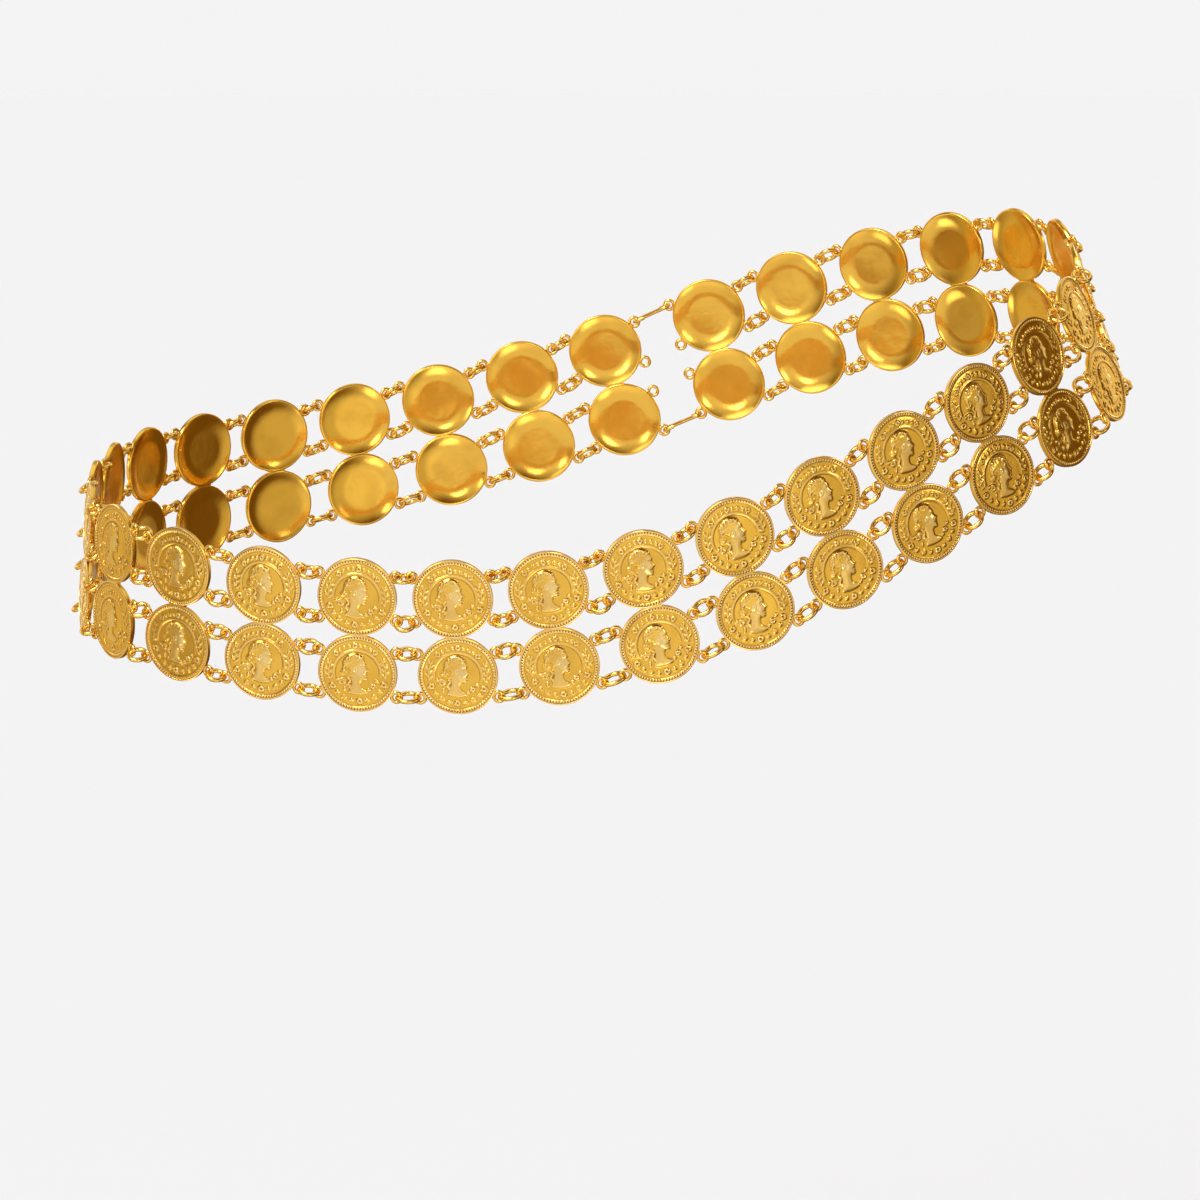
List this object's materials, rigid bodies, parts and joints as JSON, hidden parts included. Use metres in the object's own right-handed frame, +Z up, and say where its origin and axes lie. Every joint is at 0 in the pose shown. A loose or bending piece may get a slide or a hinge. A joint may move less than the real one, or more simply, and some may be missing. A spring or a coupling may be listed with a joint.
{
  "type": "coin belt",
  "caption": "Gold-coloured metal chain belt of coins in soldered upper and lower pairs, joined by round links into a closed slanting loop in its worn form.",
  "frame": {"origin": "the middle of the loop seen from above, at the mean height of the pairs of coins, where the hips that hold the belt up would be", "axes": "+Z up, -Y the front, +X the high hip on the viewer's right; the loop is longest along X"},
  "size_m": [0.357, 0.2508, 0.1588],
  "materials": {
    "gold": "polished gold plate, darkened in the recesses of the struck coins"
  },
  "bodies": {
    "root": {"pair_01": "gold", "pair_02": "gold", "pair_03": "gold", "pair_04": "gold", "pair_05": "gold", "pair_06": "gold", "pair_07": "gold", "pair_08": "gold", "pair_09": "gold", "pair_10": "gold", "pair_11": "gold", "pair_12": "gold", "pair_13": "gold", "pair_14": "gold", "pair_15": "gold", "pair_16": "gold", "pair_17": "gold", "pair_18": "gold", "pair_19": "gold", "pair_20": "gold", "pair_21": "gold", "pair_22": "gold", "pair_23": "gold", "pair_24": "gold", "pair_25": "gold", "pair_26": "gold", "pair_27": "gold", "pair_28": "gold", "pair_29": "gold", "pair_30": "gold", "hook_upper": "gold", "hook_lower": "gold"}
  },
  "joints": []
}
